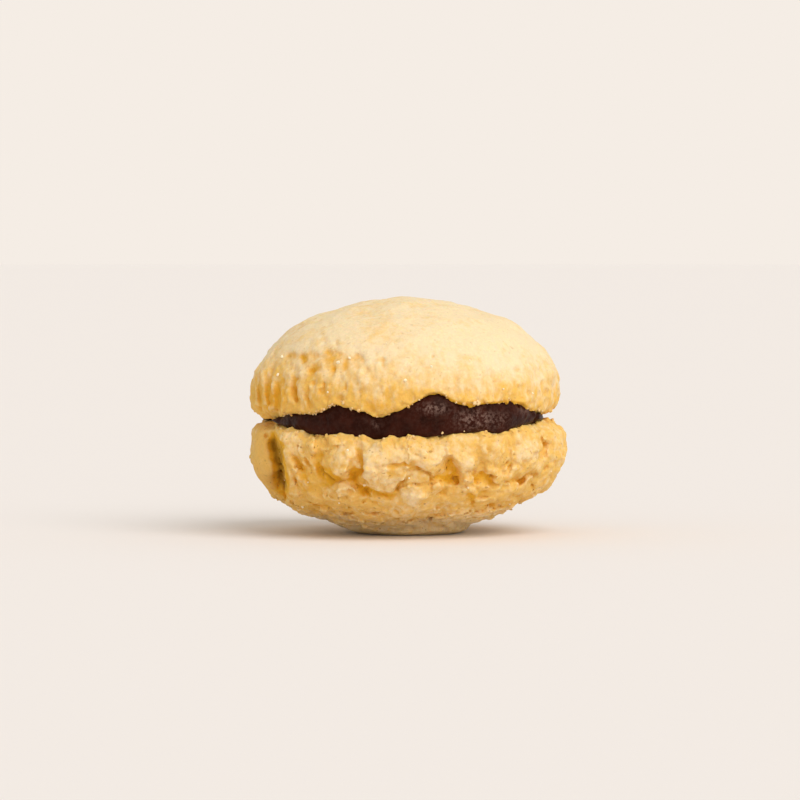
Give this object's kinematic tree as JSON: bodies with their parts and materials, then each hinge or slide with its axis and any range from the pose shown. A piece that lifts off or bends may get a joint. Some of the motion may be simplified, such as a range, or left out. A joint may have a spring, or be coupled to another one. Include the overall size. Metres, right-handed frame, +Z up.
{
  "type": "baci di dama cookie",
  "caption": "Round sandwich cookie: a smooth and a craggy shortbread dome stuck face to face by a wavy layer of dark chocolate.",
  "frame": {"origin": "centre of the cookie's footprint, on the surface it stands on", "axes": "+Z up along the axis of both domes, from the craggy dome through the chocolate to the smooth dome; the side seen in the picture faces -Y, its right is +X"},
  "size_m": [0.032, 0.0318, 0.0236],
  "materials": {
    "shortbread_smooth": "pale golden shortbread, matte and finely grainy, more golden towards the seam",
    "shortbread_craggy": "golden shortbread, matte, cracked and crumbly, orange brown in the crevices",
    "dark_chocolate": "set dark chocolate, satin with a faint dusty bloom"
  },
  "bodies": {
    "root": {"top_biscuit": "shortbread_smooth", "filling": "dark_chocolate", "bottom_biscuit": "shortbread_craggy"}
  },
  "joints": []
}
